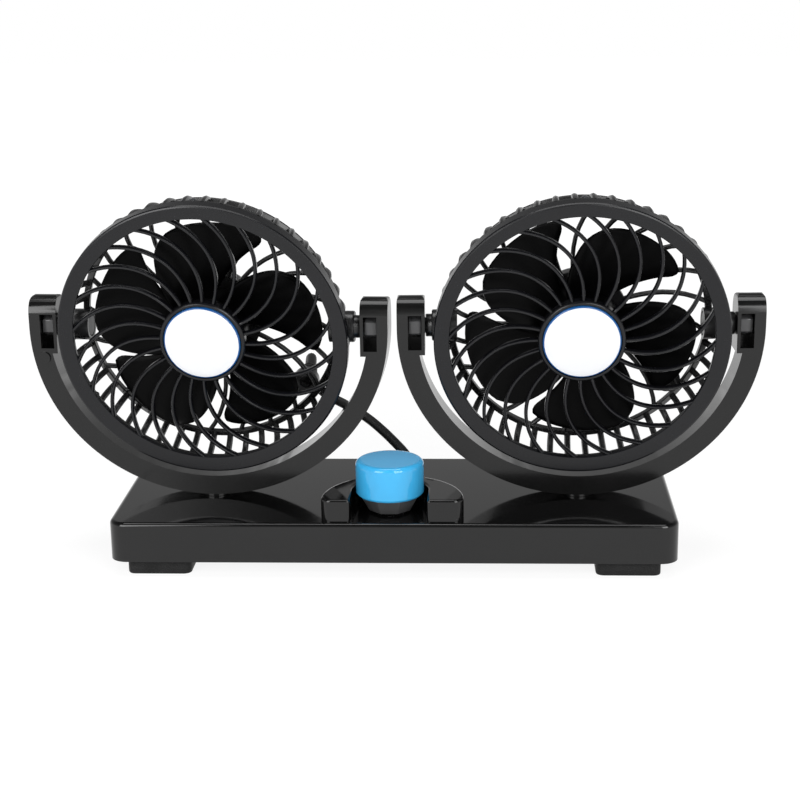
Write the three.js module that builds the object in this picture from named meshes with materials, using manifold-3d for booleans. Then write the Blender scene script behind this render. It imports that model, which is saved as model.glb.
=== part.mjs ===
// Twin-head 12 V desk and dashboard fan: two caged heads, each tilting in a U-shaped yoke that
// swivels on one flat base with a rotary speed knob. Millimetres, +Z up, the front faces -Y.
// The origin is on the floor under the middle of the base.
import * as THREE from 'three';
import { mergeVertices } from 'three/addons/utils/BufferGeometryUtils.js';
import Module from 'manifold-3d';

const wasm = await Module();
wasm.setup();

// ---- Driving dimensions -------------------------------------------------------------------

const GAP = 0.3; // running and seating clearance between separate pieces
const RAD = Math.PI / 180;

const BASE = { width: 220, depth: 85, bottom: 6.1, top: 21.9, corner: 7, edge: 1.6, wall: 2.2 };
const PLATE = { bottom: 6.6, top: 8.4, inset: 2.6 };
const FOOT = { width: 25, depth: 22, x: 91, y: 28.5, corner: 3 };
const BASE_SCREW = { x: 58, y: 31, headRadius: 2.7, shankRadius: 1.2, length: 10 };

const KNOB = { x: -1.2, y: -25.6, radius: 13.3, bottom: 28.9, top: 42.7, wall: 1.7 };
const CONSOLE = { radius: 28.5, centreY: -33.5, frontY: -37.5, top: 28.6, wall: 2, notch: 16.5 };
const SHAFT_RADIUS = 2.6;
const BUSH_RADIUS = 4.2;

const HEAD = { x: 72.85, y: -2.5, z: 91, restTilt: 12 }; // pivot point and droop at rest
const PAN = { left: -3, right: 1 }; // degrees that each yoke is turned at rest

const YOKE = {
  outerX: 71.5, outerZ: 68.1, innerX: 63.6, innerZ: 60.4, // the two half ellipses of the U
  depth: 14, blockInner: 60.5, blockBottom: -10.5, topRadius: 7, topCentre: 5,
  neckRadius: 7, neckBottom: 19.6,
};
const POCKET = { inner: 62, outer: 66.3, top: 5, bottom: -8.5, back: 4.8 };
const PIN_RADIUS = 3.1;
const LUG = { radius: 6.2, neckRadius: 4.5, inner: 47.9, shoulder: 57.8, outer: 60.2, sunk: 49.7 };

const RING = { outer: 57, inner: 51, front: 17.3, rear: 12, lipRear: 14.2, wallInner: 53 };
const SPOKES = { count: 24, innerR: 16.1, outerR: 51.9, sweep: 30, width: 1.6, depth: 2.6 };
const BADGE_RADIUS = 15.1;
const RIBS = { count: 48, width: 2.4 };
const REAR_BARS = 24;
const CUP = { outer: 14.6, inner: 12.6, bottom: -25, floor: -23.4, flange: 19.5 };
const FAN = { hubRadius: 15.4, tipRadius: 46, rear: -3.8, front: 9.6, blades: 5 };
const MOTOR = { radius: 12.2, rear: -23, front: -5.6 };

const LEAD_RADIUS = 2;
const GROMMETS = { leftX: 3.6, rightX: -10, y: 32.5, radius: 4.4, bore: 2.4 };
const GLAND = { x: 36, y: -27, rear: -16.3, seat: -8.1 }; // in the head's own frame
// The left head's lead, from its gland down behind the yoke to the base: route points chosen by eye.
const LEAD_ROUTE = [
  [-35.7, 17.6, 68.1], [-35.5, 22.1, 69.1], [-36.1, 28.4, 69.8], [-37.3, 34.0, 67.4],
  [-37.6, 37.2, 61.6], [-35.0, 37.6, 55.2], [-30.4, 36.6, 51.2], [-24.5, 35.4, 48.4],
  [-18.6, 34.4, 45.3], [-12.6, 33.6, 41.3], [-6.8, 33.0, 36.3], [-1.6, 32.7, 31.0],
  [1.6, 32.5, 27.4], [3.5, 32.5, 24.3],
];

// ---- Materials ----------------------------------------------------------------------------

const glossBlack = new THREE.MeshStandardMaterial({ color: 0x101012, roughness: 0.15 });
const satinBlack = new THREE.MeshStandardMaterial({ color: 0x242528, roughness: 0.38 });
const bladeBlack = new THREE.MeshStandardMaterial({ color: 0x0b0b0c, roughness: 0.5 });
const knobBlue = new THREE.MeshStandardMaterial({ color: 0x4cb4f4, roughness: 0.35 });
const badgeWhite = new THREE.MeshStandardMaterial({ color: 0xf8f9fb, roughness: 0.3 });
const foamBlack = new THREE.MeshStandardMaterial({ color: 0x1b1b1a, roughness: 0.95 });
const rubberBlack = new THREE.MeshStandardMaterial({ color: 0x141414, roughness: 0.7 });
const steel = new THREE.MeshStandardMaterial({ color: 0xb9bcc0, roughness: 0.3, metalness: 1 });
const zinc = new THREE.MeshStandardMaterial({ color: 0x6d6f72, roughness: 0.45, metalness: 1 });

// ---- Shape tools --------------------------------------------------------------------------

// Turns a closed three.js geometry into a solid that can be cut and joined.
function solid(geometry) {
  const bare = new THREE.BufferGeometry();
  bare.setAttribute('position', geometry.getAttribute('position').clone());
  if (geometry.index) bare.setIndex(geometry.index.clone());
  const merged = mergeVertices(bare, 1e-4);
  const points = merged.getAttribute('position').array;
  const corners = merged.index.array;
  const kept = [];
  let volume = 0;
  for (let i = 0; i < corners.length; i += 3) {
    const [a, b, c] = [corners[i], corners[i + 1], corners[i + 2]];
    if (a === b || b === c || c === a) continue;
    kept.push(a, b, c);
    const [p, q, r] = [a, b, c].map((k) => new THREE.Vector3().fromArray(points, 3 * k));
    volume += p.dot(q.cross(r));
  }
  if (volume < 0) kept.reverse();
  return new wasm.Manifold(new wasm.Mesh({
    numProp: 3,
    vertProperties: new Float32Array(points),
    triVerts: new Uint32Array(kept),
  }));
}

function join(first, ...others) {
  return others.reduce((whole, piece) => whole.add(piece), first);
}

function cut(first, ...tools) {
  return tools.reduce((whole, tool) => whole.subtract(tool), first);
}

function piece(name, body, material) {
  const mesh = body.getMesh();
  const geometry = new THREE.BufferGeometry();
  geometry.setAttribute('position', new THREE.BufferAttribute(new Float32Array(mesh.vertProperties), 3));
  geometry.setIndex(new THREE.BufferAttribute(new Uint32Array(mesh.triVerts), 1));
  geometry.computeVertexNormals();
  const result = new THREE.Mesh(geometry, material);
  result.name = name;
  return result;
}

// A block between two corners.
function block(x0, y0, z0, x1, y1, z1) {
  const geometry = new THREE.BoxGeometry(x1 - x0, y1 - y0, z1 - z0);
  return solid(geometry.translate((x0 + x1) / 2, (y0 + y1) / 2, (z0 + z1) / 2));
}

// A solid of revolution about Z from (radius, height) points that close on the axis or themselves.
function turned(profile, segments = 32) {
  const points = profile.map(([r, z]) => new THREE.Vector2(r, z));
  const onAxis = profile[0][0] === 0 && profile[profile.length - 1][0] === 0;
  if (!onAxis) points.push(points[0].clone());
  return solid(new THREE.LatheGeometry(points, segments).rotateX(Math.PI / 2));
}

function disc(radius, z0, z1, segments = 24) {
  return turned([[0, z0], [radius, z0], [radius, z1], [0, z1]], segments);
}

function band(inner, outer, z0, z1, segments = 48) {
  return turned([[inner, z0], [outer, z0], [outer, z1], [inner, z1]], segments);
}

// A rod along X.
function crossRod(radius, x0, x1, segments = 12) {
  return disc(radius, x0, x1, segments).rotate([0, 90, 0]);
}

function extruded(shape, depth, curveSegments = 6, bevel = 0, bevelSegments = 2) {
  const options = { depth: depth - 2 * bevel, curveSegments, bevelEnabled: bevel > 0 };
  if (bevel > 0) {
    Object.assign(options, { bevelThickness: bevel, bevelSize: bevel, bevelOffset: -bevel, bevelSegments });
  }
  return new THREE.ExtrudeGeometry(shape, options).translate(0, 0, bevel);
}

function roundedRectangle(width, depth, corner) {
  const x = width / 2 - corner;
  const y = depth / 2 - corner;
  const shape = new THREE.Shape();
  shape.absarc(x, y, corner, 0, Math.PI / 2, false);
  shape.absarc(-x, y, corner, Math.PI / 2, Math.PI, false);
  shape.absarc(-x, -y, corner, Math.PI, 1.5 * Math.PI, false);
  shape.absarc(x, -y, corner, 1.5 * Math.PI, 2 * Math.PI, false);
  return shape;
}

// A pan-head screw pointing up: the head's underside is at z = 0.
function screw(headRadius, shankRadius, length) {
  return turned([
    [0, -1.5], [headRadius * 0.7, -1.5], [headRadius, -0.8], [headRadius, 0], [shankRadius, 0],
    [0, length],
  ], 6);
}

// ---- Base ---------------------------------------------------------------------------------

// The raised half-round console round the knob, grown or shrunk by an offset.
function consoleOutline(offset) {
  const radius = CONSOLE.radius + offset;
  const shape = new THREE.Shape();
  shape.moveTo(KNOB.x - radius, CONSOLE.frontY - offset);
  shape.lineTo(KNOB.x + radius, CONSOLE.frontY - offset);
  shape.absarc(KNOB.x, CONSOLE.centreY, radius, 0, Math.PI, false);
  return shape;
}

// The notch in the console's front, where the knob's collar stands.
function consoleNotch(offset, z0, z1) {
  const radius = CONSOLE.notch + offset;
  const well = disc(radius, z0, z1, 28).translate([KNOB.x, KNOB.y, 0]);
  const mouth = block(KNOB.x - radius, CONSOLE.frontY - 5, z0, KNOB.x + radius, KNOB.y, z1);
  return join(well, mouth);
}

function baseCover() {
  const height = BASE.top - BASE.bottom;
  const outline = roundedRectangle(BASE.width, BASE.depth, BASE.corner);
  const box = solid(extruded(outline, height + 4, 3, BASE.edge, 2)).translate([0, 0, BASE.bottom - 4]);
  const belowRim = block(-150, -80, -10, 150, 80, BASE.bottom);
  const inside = roundedRectangle(
    BASE.width - 2 * BASE.wall, BASE.depth - 2 * BASE.wall, BASE.corner - BASE.wall);
  const ceiling = BASE.top - BASE.wall;
  const cavity = solid(extruded(inside, ceiling - BASE.bottom + 2, 2)).translate([0, 0, BASE.bottom - 2]);

  const rise = solid(extruded(consoleOutline(0), 8.6, 10, 0.8, 1)).translate([0, 0, CONSOLE.top - 8.6]);
  const room = solid(extruded(consoleOutline(-CONSOLE.wall), 12, 8))
    .translate([0, 0, CONSOLE.top - CONSOLE.wall - 12]);
  const roomNotch = consoleNotch(CONSOLE.wall, 0, 40);
  let cover = cut(join(cut(box, belowRim), rise), cavity, cut(room, roomNotch));
  cover = cut(cover, consoleNotch(0, BASE.top, 40));

  for (const sx of [-1, 1]) {
    for (const sy of [-1, 1]) {
      const place = [sx * BASE_SCREW.x, sy * BASE_SCREW.y, 0];
      cover = join(cover, disc(3.4, PLATE.top + GAP, ceiling + 0.5, 8).translate(place));
      cover = cut(cover, disc(BASE_SCREW.shankRadius + 0.4, 0, 18, 8).translate(place));
    }
    const neckHole = disc(YOKE.neckRadius + 0.4, 15, 30, 24);
    cover = cut(cover, neckHole.translate([sx * HEAD.x, HEAD.y, 0]));
  }
  cover = cut(cover, disc(BUSH_RADIUS + GAP, 15, 30, 16).translate([KNOB.x, KNOB.y, 0]));
  for (const x of [GROMMETS.leftX, GROMMETS.rightX]) {
    cover = cut(cover, disc(3.3 + GAP, 15, 30, 10).translate([x, GROMMETS.y, 0]));
  }
  const supplyHole = disc(3.3 + GAP, -50, -30, 10).rotate([90, 0, 0]).translate([0, 0, 14]);
  return piece('base_cover', cut(cover, supplyHole), glossBlack);
}

function basePlate() {
  const outline = roundedRectangle(
    BASE.width - 2 * PLATE.inset, BASE.depth - 2 * PLATE.inset, BASE.corner - PLATE.inset);
  let plate = solid(extruded(outline, PLATE.top - PLATE.bottom, 2)).translate([0, 0, PLATE.bottom]);
  for (const sx of [-1, 1]) {
    for (const sy of [-1, 1]) {
      const hole = disc(BASE_SCREW.shankRadius + 0.4, 0, 20, 8);
      plate = cut(plate, hole.translate([sx * BASE_SCREW.x, sy * BASE_SCREW.y, 0]));
    }
  }
  return piece('base_bottom_plate', plate, satinBlack);
}

function baseScrew(name, sx, sy) {
  const body = screw(BASE_SCREW.headRadius, BASE_SCREW.shankRadius, BASE_SCREW.length);
  return piece(name, body.translate([sx * BASE_SCREW.x, sy * BASE_SCREW.y, PLATE.bottom - GAP]), zinc);
}

function foot(name, sx, sy) {
  const outline = roundedRectangle(FOOT.width, FOOT.depth, FOOT.corner);
  const pad = solid(extruded(outline, PLATE.bottom - GAP, 2));
  return piece(name, pad.translate([sx * FOOT.x, sy * FOOT.y, 0]), foamBlack);
}

// A rubber bush in the base's top, which a head's lead enters.
function grommet(name, x) {
  const bush = turned([
    [GROMMETS.bore, 18.6], [3.3, 18.6], [3.3, BASE.top + GAP], [GROMMETS.radius, BASE.top + GAP],
    [GROMMETS.radius - 0.6, 23.5], [GROMMETS.bore, 23.5],
  ], 10);
  return piece(name, bush.translate([x, GROMMETS.y, 0]), rubberBlack);
}

// The bush of the 12 V supply, flush in the rear wall. Its inner flange keeps it in.
function supplyBush() {
  const back = BASE.depth / 2;
  const inner = back - BASE.wall - GAP;
  const bush = turned([
    [GROMMETS.bore, inner - 1.6], [4.8, inner - 1.6], [4.8, inner], [3.3, inner],
    [3.3, back - 0.1], [GROMMETS.bore, back - 0.1],
  ], 10);
  return piece('supply_lead_bush', bush.rotate([-90, 0, 0]).translate([0, 0, 14]), rubberBlack);
}

// ---- Speed switch and knob ----------------------------------------------------------------

function atKnob(body) {
  return body.translate([KNOB.x, KNOB.y, 0]);
}

function switchBody() {
  const can = block(-8.5, -7.5, 10.2, 8.5, 7.5, BASE.top - BASE.wall - GAP);
  const bush = disc(BUSH_RADIUS, 18, 24.6, 16);
  const lugs = [-5, 0, 5].map((x) => block(x - 0.8, 7.2, 11.5, x + 0.8, 12, 12.2));
  const bore = disc(SHAFT_RADIUS + GAP, 11.6, 30, 12);
  return piece('speed_switch', atKnob(cut(join(can, bush, ...lugs), bore)), bladeBlack);
}

function switchNut() {
  const nut = cut(disc(6.4, 22.3, 24.3, 6), disc(BUSH_RADIUS + GAP, 20, 30, 16));
  return piece('switch_nut', atKnob(nut), steel);
}

function switchShaft() {
  const shaft = disc(SHAFT_RADIUS, 12, 38.4, 12);
  const flat = block(-5, 1.5, 30, 5, 5, 45);
  return piece('switch_shaft', atKnob(cut(shaft, flat)), steel);
}

// The black collar under the cap: an eight-sided taper, a plug in the cap, and a stem.
function knobCollar() {
  const taper = turned([[0, 22.7], [8.6, 22.7], [11.6, 28.6], [0, 28.6]], 8);
  const plug = disc(KNOB.radius - KNOB.wall - GAP, 28, 32, 24);
  const stem = disc(5.4, 31, 39.6, 16);
  const bore = disc(SHAFT_RADIUS + GAP, 20, 45, 12);
  const nutRoom = disc(6.9, 20, 25, 14);
  return piece('knob_collar', atKnob(cut(join(taper, plug, stem), bore, nutRoom)), satinBlack);
}

function knobCap() {
  const inner = KNOB.radius - KNOB.wall;
  const ceiling = KNOB.top - 1.9;
  const cap = turned([
    [0, ceiling], [inner, ceiling], [inner, KNOB.bottom], [KNOB.radius, KNOB.bottom],
    [KNOB.radius, KNOB.top - 1.4], [KNOB.radius - 0.4, KNOB.top - 0.5], [KNOB.radius - 1.4, KNOB.top],
    [0, KNOB.top],
  ], 32);
  return piece('knob_cap', atKnob(cap), knobBlue);
}

// ---- Yoke: the U that carries a head, its swivel neck and what holds it in the base ---------

// In the yoke's own frame the pivot axis is X and the origin is the pivot point.
function yokeOutline() {
  const { outerX, outerZ, innerX, innerZ, blockInner, blockBottom } = YOKE;
  const top = YOKE.topCentre + YOKE.topRadius;
  const round = 1.5;
  const startAngle = Math.asin(blockBottom / innerZ);
  const shape = new THREE.Shape();
  shape.moveTo(-outerX, 0);
  shape.absellipse(0, 0, outerX, outerZ, Math.PI, 2 * Math.PI, false, 0);
  shape.lineTo(outerX, top - round);
  shape.quadraticCurveTo(outerX, top, outerX - round, top);
  shape.lineTo(blockInner + round, top);
  shape.quadraticCurveTo(blockInner, top, blockInner, top - round);
  shape.lineTo(blockInner, blockBottom);
  shape.absellipse(0, 0, innerX, innerZ, startAngle, Math.PI - startAngle, true, 0);
  shape.lineTo(-blockInner, blockBottom);
  shape.lineTo(-blockInner, top - round);
  shape.quadraticCurveTo(-blockInner, top, -blockInner - round, top);
  shape.lineTo(-outerX + round, top);
  shape.quadraticCurveTo(-outerX, top, -outerX, top - round);
  return shape;
}

function yoke(name, hasButton) {
  const half = YOKE.depth / 2;
  const bow = extruded(yokeOutline(), YOKE.depth, 8, 0.7, 1).rotateX(Math.PI / 2).translate(0, half, 0);
  // Seen from the side, each arm ends in a half round about the pivot.
  const side = new THREE.Shape();
  side.moveTo(-half, -90);
  side.lineTo(half, -90);
  side.lineTo(half, YOKE.topCentre);
  side.absarc(0, YOKE.topCentre, half, 0, Math.PI, false);
  const sideSolid = extruded(side, 160, 4).translate(0, 0, -80).rotateX(Math.PI / 2).rotateZ(Math.PI / 2);
  let body = solid(bow).intersect(solid(sideSolid));

  const neckTop = -YOKE.innerZ - 3;
  const neckEnd = YOKE.neckBottom - HEAD.z;
  body = join(body, disc(YOKE.neckRadius, neckEnd, neckTop, 24));
  body = cut(body, disc(1.8, neckEnd - 2, -61.8, 8));
  for (const s of [-1, 1]) {
    const [a, b] = [s * POCKET.inner, s * POCKET.outer].sort((p, q) => p - q);
    const [c, d] = [s * (YOKE.blockInner - 1), s * (POCKET.inner + 1)].sort((p, q) => p - q);
    body = cut(body,
      block(a, -half - 1, POCKET.bottom, b, POCKET.back, POCKET.top),
      crossRod(PIN_RADIUS + 0.4, c, d));
  }
  // A round moulded button stands on the front of the outer arm, under its window.
  if (hasButton) body = join(body, disc(2.5, 6, half + 0.8, 12).rotate([90, 0, 0]).translate([-66.1, 0, -12.4]));
  return piece(name, body, glossBlack);
}

// The washer under the base's top that keeps the yoke's neck in its hole, and its screw.
function swivelWasher(name) {
  const z = YOKE.neckBottom - GAP - HEAD.z;
  return piece(name, band(1.8, 11, z - 1.8, z, 16), steel);
}

function swivelScrew(name) {
  const z = YOKE.neckBottom - GAP - 1.8 - GAP - HEAD.z;
  return piece(name, screw(3.4, 1.5, -62.4 - z).translate([0, 0, z]), zinc);
}

// ---- Head: in its own frame +Z is the way it blows, and the pivot axis is X ------------------

// A bar of three-cornered section through a list of [x, y, z, half width, depth] stations. Its flat
// face is in front and its ridge points back.
function ridgedBar(stations) {
  const last = stations.length - 1;
  const positions = [];
  const index = [];
  stations.forEach(([x, y, z, half, depth], i) => {
    const before = stations[Math.max(i - 1, 0)];
    const after = stations[Math.min(i + 1, last)];
    const [dx, dy] = [after[0] - before[0], after[1] - before[1]];
    const length = Math.hypot(dx, dy);
    const [nx, ny] = [-dy / length * half, dx / length * half];
    positions.push(x - nx, y - ny, z, x + nx, y + ny, z, x, y, z - depth);
  });
  for (let i = 0; i < last; i += 1) {
    for (let k = 0; k < 3; k += 1) {
      const [a, b] = [3 * i + k, 3 * i + ((k + 1) % 3)];
      index.push(a, b, b + 3, a, b + 3, a + 3);
    }
  }
  index.push(0, 2, 1, 3 * last, 3 * last + 1, 3 * last + 2);
  const geometry = new THREE.BufferGeometry();
  geometry.setAttribute('position', new THREE.BufferAttribute(new Float32Array(positions), 3));
  geometry.setIndex(index);
  return solid(geometry);
}

// One curved bar of the front guard. Seen from the front it sweeps anticlockwise as it runs out.
function spoke(turn) {
  const stations = [];
  const steps = 4;
  for (let i = 0; i <= steps; i += 1) {
    const share = i / steps;
    const r = SPOKES.innerR + (SPOKES.outerR - SPOKES.innerR) * share;
    const angle = turn + SPOKES.sweep * RAD * share ** 1.9;
    stations.push([
      r * Math.cos(angle), r * Math.sin(angle), 15.5 + 0.3 * share ** 2, SPOKES.width / 2,
      SPOKES.depth - 1.1 * share ** 2,
    ]);
  }
  return ridgedBar(stations);
}

function ringScrewPlaces() {
  return [90, 210, 330].map((degrees) => {
    const angle = degrees * RAD;
    return [55 * Math.cos(angle), 55 * Math.sin(angle)];
  });
}

function frontGuard(name, firstSpoke) {
  const ring = turned([
    [RING.inner, RING.lipRear], [RING.inner, 16], [56.2, RING.front], [RING.outer, 16.6],
    [RING.outer, RING.rear], [RING.wallInner, RING.rear],
  ], 48);
  // The boss in the middle is a cup from behind, with a recess in front for the badge.
  const boss = turned([
    [0, 14.6], [BADGE_RADIUS + GAP, 14.6], [BADGE_RADIUS + GAP, 16.5], [16.4, 16.5], [16.9, 15.8],
    [16.9, 12.4], [0, 12.4],
  ], 24);
  const bars = [];
  for (let i = 0; i < SPOKES.count; i += 1) bars.push(spoke(firstSpoke + i * 2 * Math.PI / SPOKES.count));
  let guard = join(ring, boss, ...bars);
  for (const [x, y] of ringScrewPlaces()) guard = cut(guard, disc(1.3, 5, 15.7, 8).translate([x, y, 0]));
  return piece(name, guard, satinBlack);
}

function badge(name) {
  const disk = turned([
    [0, 14.9], [BADGE_RADIUS, 14.9], [BADGE_RADIUS, 16.4], [BADGE_RADIUS - 0.7, 16.9], [0, 17.4],
  ], 24);
  return piece(name, disk, badgeWhite);
}

// One of the close ribs round the cage's side: flat outside, ridged inside.
function sideRib(turn) {
  const outward = [[57, 11.2], [56.3, 4.6], [51.4, -4.9]];
  const inward = [[53.9, 11.2], [53.4, 4.6], [49.6, -4]];
  const positions = [];
  outward.forEach(([r, z], i) => {
    positions.push(r, -RIBS.width / 2, z, r, RIBS.width / 2, z, inward[i][0], 0, inward[i][1]);
  });
  const index = [0, 1, 2, 6, 8, 7];
  for (let i = 0; i < 2; i += 1) {
    for (let k = 0; k < 3; k += 1) {
      const [a, b] = [3 * i + k, 3 * i + ((k + 1) % 3)];
      index.push(a, b + 3, b, a, a + 3, b + 3);
    }
  }
  const geometry = new THREE.BufferGeometry();
  geometry.setAttribute('position', new THREE.BufferAttribute(new Float32Array(positions), 3));
  geometry.setIndex(index);
  return solid(geometry.rotateZ(turn));
}

// One bar over the back of the cage, from the motor cup to the corner ring. Seen from the front it
// bends clockwise as it runs out, so it crosses the front bars.
function rearBar(turn) {
  return ridgedBar([[18, -7, 0, 1.9], [36, -4.9, 5, 1.75], [49.7, -3.3, 14, 1.6]].map(
    ([r, z, bend, depth]) => {
      const angle = turn - bend * RAD;
      return [r * Math.cos(angle), r * Math.sin(angle), z, 1.1, depth];
    }));
}

function rearHousing(name) {
  const flange = band(53, 56.3, 9.3, RING.rear - GAP, 24);
  const corner = turned([[49.4, -5.1], [52.1, -5.1], [49.4, -2.4]], 24);
  const cup = turned([
    [0, CUP.bottom], [11.5, CUP.bottom], [CUP.outer, CUP.bottom + 2.6], [CUP.outer, -9.2],
    [CUP.flange, -9.2], [CUP.flange, -6.6], [0, -6.6],
  ], 24);
  const ribs = [];
  for (let i = 0; i < RIBS.count; i += 1) ribs.push(sideRib((i + 0.5) * 2 * Math.PI / RIBS.count));
  for (let i = 0; i < REAR_BARS; i += 1) ribs.push(rearBar((i + 0.5) * 2 * Math.PI / REAR_BARS));
  const lugs = [-1, 1].map((s) => {
    const lug = turned([
      [0, LUG.inner], [LUG.radius, LUG.inner], [LUG.radius, LUG.shoulder],
      [LUG.neckRadius, LUG.shoulder], [LUG.neckRadius, LUG.outer], [0, LUG.outer],
    ], 12);
    return lug.rotate([0, s * 90, 0]);
  });
  const leadSeat = disc(5.2, GLAND.seat + GAP, -4.4, 10).translate([GLAND.x, GLAND.y, 0]);
  let housing = join(flange, corner, cup, ...ribs, ...lugs, leadSeat);
  housing = cut(housing,
    disc(CUP.inner, CUP.floor, 0, 24),
    crossRod(PIN_RADIUS + 0.4, -62, -45), crossRod(PIN_RADIUS + 0.4, 45, 62),
    crossRod(4.8, -LUG.sunk, -45), crossRod(4.8, 45, LUG.sunk),
    disc(2.6, -20, 0, 10).translate([GLAND.x, GLAND.y, 0]));
  for (const s of [-1, 1]) housing = cut(housing, disc(1.3, -30, -20, 8).translate([7 * s, 0, 0]));
  for (const [x, y] of ringScrewPlaces()) housing = cut(housing, disc(1.3, -10, 14, 8).translate([x, y, 0]));
  return piece(name, housing, satinBlack);
}

function housingScrew(name, [x, y]) {
  return piece(name, screw(1.9, 1, 6.2).translate([x, y, 9]), zinc);
}

// A pin through each side lug, with its head sunk in the lug's inner end and a barrel nut in the yoke.
function pivotPin(name, s) {
  const seat = LUG.sunk - GAP;
  const pin = turned([
    [0, seat - 1.4], [4.4, seat - 1.4], [4.4, seat], [PIN_RADIUS, seat], [PIN_RADIUS, 65.8], [0, 65.8],
  ], 12);
  return piece(name, pin.rotate([0, s * 90, 0]), steel);
}

function pivotNut(name, s) {
  const nut = turned([
    [PIN_RADIUS + 0.4, 62.3], [4.5, 62.3], [4.5, 66], [PIN_RADIUS + 0.4, 66],
  ], 12);
  return piece(name, nut.rotate([0, s * 90, 0]), glossBlack);
}

function motor(name) {
  const can = turned([
    [0, MOTOR.rear], [MOTOR.radius, MOTOR.rear], [MOTOR.radius, MOTOR.front], [4, MOTOR.front],
    [4, -4.6], [0, -4.6],
  ], 20);
  const shaftRoom = disc(1.5, -14, 0, 10);
  const screwRoom = [-7, 7].map((x) => disc(1.3, -30, -19, 8).translate([x, 0, 0]));
  return piece(name, cut(can, shaftRoom, ...screwRoom), steel);
}

function motorScrew(name, x) {
  return piece(name, screw(2.2, 1, 5.4).translate([x, 0, CUP.bottom - GAP]), zinc);
}

function motorShaft(name) {
  return piece(name, disc(1.2, -13.6, 5.4, 10), steel);
}

// One blade: a pitched sheet whose edges sweep clockwise as it runs out, with rounded tip corners.
function fanBlade(turn) {
  const across = 4;
  const along = 3;
  const half = 0.8;
  const rows = [[], []];
  for (let j = 0; j <= along; j += 1) {
    const share = j / along;
    const r = 14 + (FAN.tipRadius - 14) * share;
    const middle = turn - 26 * RAD * share;
    for (let i = 0; i <= across; i += 1) {
      const side = 2 * i / across - 1;
      const halfWidth = (29 - 3.5 * share - (j === along ? 5 : 0)) * RAD;
      const angle = middle + side * halfWidth;
      const drop = j === along ? 1.2 * side ** 4 : 0;
      const z = 3.4 + 5.4 * side * (0.75 + 0.25 * share) * (j === along ? 0.83 : 1);
      for (const [k, sign] of [[0, -1], [1, 1]]) {
        rows[k].push([(r - drop) * Math.cos(angle), (r - drop) * Math.sin(angle), z + sign * half]);
      }
    }
  }
  const positions = [...rows[0], ...rows[1]].flat();
  const width = across + 1;
  const count = rows[0].length;
  const index = [];
  for (let j = 0; j < along; j += 1) {
    for (let i = 0; i < across; i += 1) {
      const a = j * width + i;
      const [b, c, d] = [a + 1, a + width, a + width + 1];
      index.push(a, b, d, a, d, c);
      index.push(count + a, count + d, count + b, count + a, count + c, count + d);
    }
  }
  const edge = [];
  for (let i = 0; i < across; i += 1) edge.push(i);
  for (let j = 0; j < along; j += 1) edge.push(j * width + across);
  for (let i = across; i > 0; i -= 1) edge.push(along * width + i);
  for (let j = along; j > 0; j -= 1) edge.push(j * width);
  edge.forEach((a, n) => {
    const b = edge[(n + 1) % edge.length];
    index.push(a, count + b, b, a, count + a, count + b);
  });
  const geometry = new THREE.BufferGeometry();
  geometry.setAttribute('position', new THREE.BufferAttribute(new Float32Array(positions), 3));
  geometry.setIndex(index);
  return solid(geometry);
}

function fanWheel(name, firstTurn) {
  const hub = turned([
    [0, FAN.front], [13, FAN.front], [FAN.hubRadius, FAN.front - 2.4], [FAN.hubRadius, FAN.rear],
    [0, FAN.rear],
  ], 24);
  const hollow = turned([
    [4, FAN.rear - 1], [FAN.hubRadius - 1.5, FAN.rear - 1], [FAN.hubRadius - 1.5, FAN.front - 3],
    [4, FAN.front - 3],
  ], 16);
  const blades = [];
  for (let i = 0; i < FAN.blades; i += 1) blades.push(fanBlade(firstTurn + i * 2 * Math.PI / FAN.blades));
  const core = disc(14.4, -8, 14, 20);
  const outside = blades.map((blade) => cut(blade, core));
  const wheel = cut(join(hub, ...outside), hollow, disc(1.5, FAN.rear - 1, 5.8, 10));
  return piece(name, wheel, bladeBlack);
}

// The tapered strain relief where the lead leaves the back of the cage.
function leadGland(name) {
  const gland = turned([
    [GROMMETS.bore, GLAND.rear], [3, GLAND.rear], [3.6, GLAND.seat - 1.4], [4.6, GLAND.seat - 1.2],
    [4.6, GLAND.seat], [GROMMETS.bore, GLAND.seat],
  ], 10);
  return piece(name, gland.translate([GLAND.x, GLAND.y, 0]), rubberBlack);
}

// The left head's lead: a round tube along its route.
function headLead() {
  const route = new THREE.CatmullRomCurve3(
    LEAD_ROUTE.map((p) => new THREE.Vector3(...p)), false, 'centripetal');
  const section = new THREE.Shape();
  section.absarc(0, 0, LEAD_RADIUS, 0, 2 * Math.PI, false);
  const tube = new THREE.ExtrudeGeometry(section, {
    steps: 26, extrudePath: route, curveSegments: 4, bevelEnabled: false,
  });
  return piece('left_head_lead', solid(tube), rubberBlack);
}

// ---- Assembly -----------------------------------------------------------------------------

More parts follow.
